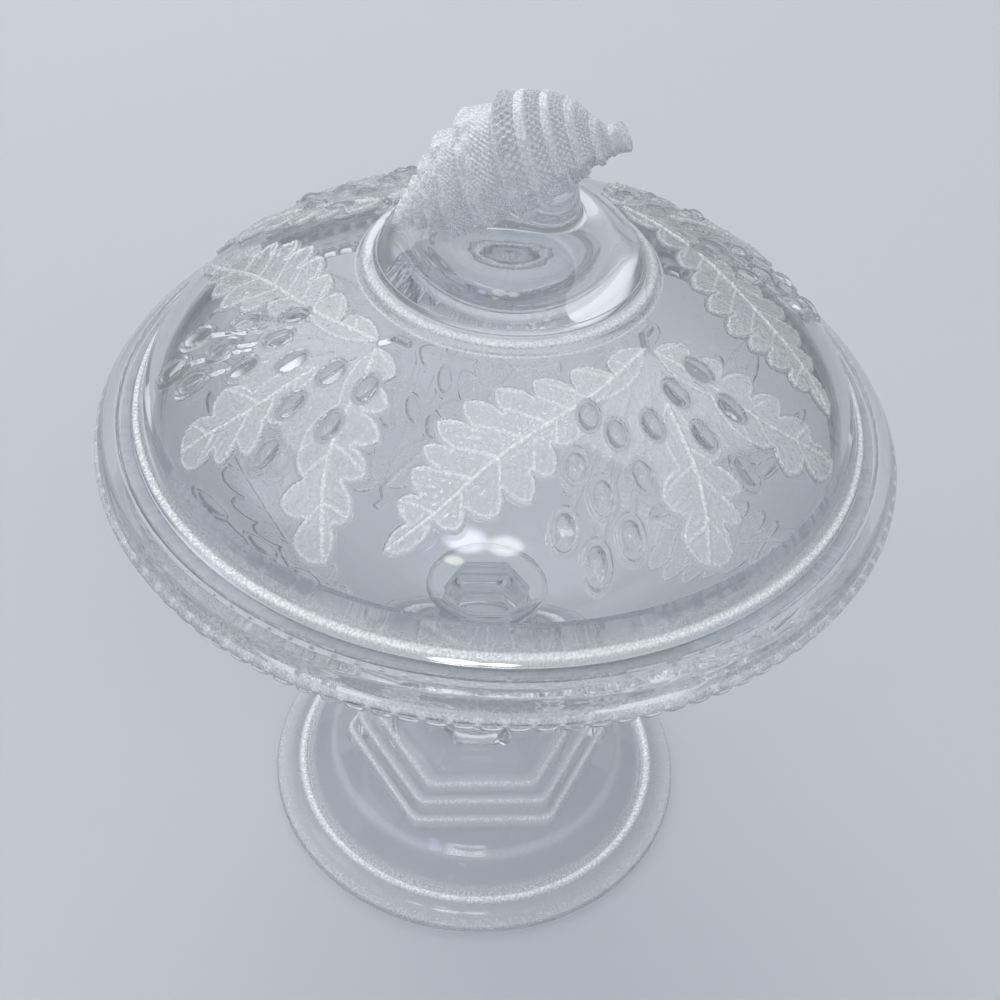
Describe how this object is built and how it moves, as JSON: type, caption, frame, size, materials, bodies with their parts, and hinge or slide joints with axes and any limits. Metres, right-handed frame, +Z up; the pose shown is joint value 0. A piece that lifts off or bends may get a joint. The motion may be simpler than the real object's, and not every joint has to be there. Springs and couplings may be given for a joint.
{
  "type": "covered compote",
  "caption": "Footed serving bowl of clear pressed glass on a hexagonal stem, with a beaded rim and a lift-off domed lid topped by a spiral shell.",
  "frame": {"origin": "centre of the foot, on the surface that the compote stands on", "axes": "+Z up along the axis of bowl and lid, -Y towards the front, +X towards the shell's siphon end"},
  "size_m": [0.2032, 0.2032, 0.2346],
  "materials": {
    "clear_glass": "polished clear, very slightly grey",
    "frosted_glass": "stippled, frosty"
  },
  "bodies": {
    "footed_bowl": {"foot": "clear_glass", "stem": "clear_glass", "join_wafer": "clear_glass", "bowl": "clear_glass", "rim_beads": "clear_glass"},
    "lid": {"lid_cover": "clear_glass", "finial_crown": "clear_glass", "shell_finial": "frosted_glass"}
  },
  "joints": [
    {"name": "lid_lift", "type": "slide", "parent": "footed_bowl", "child": "lid", "axis": [0, 0, 1], "range_m": [0, 0.12]}
  ]
}
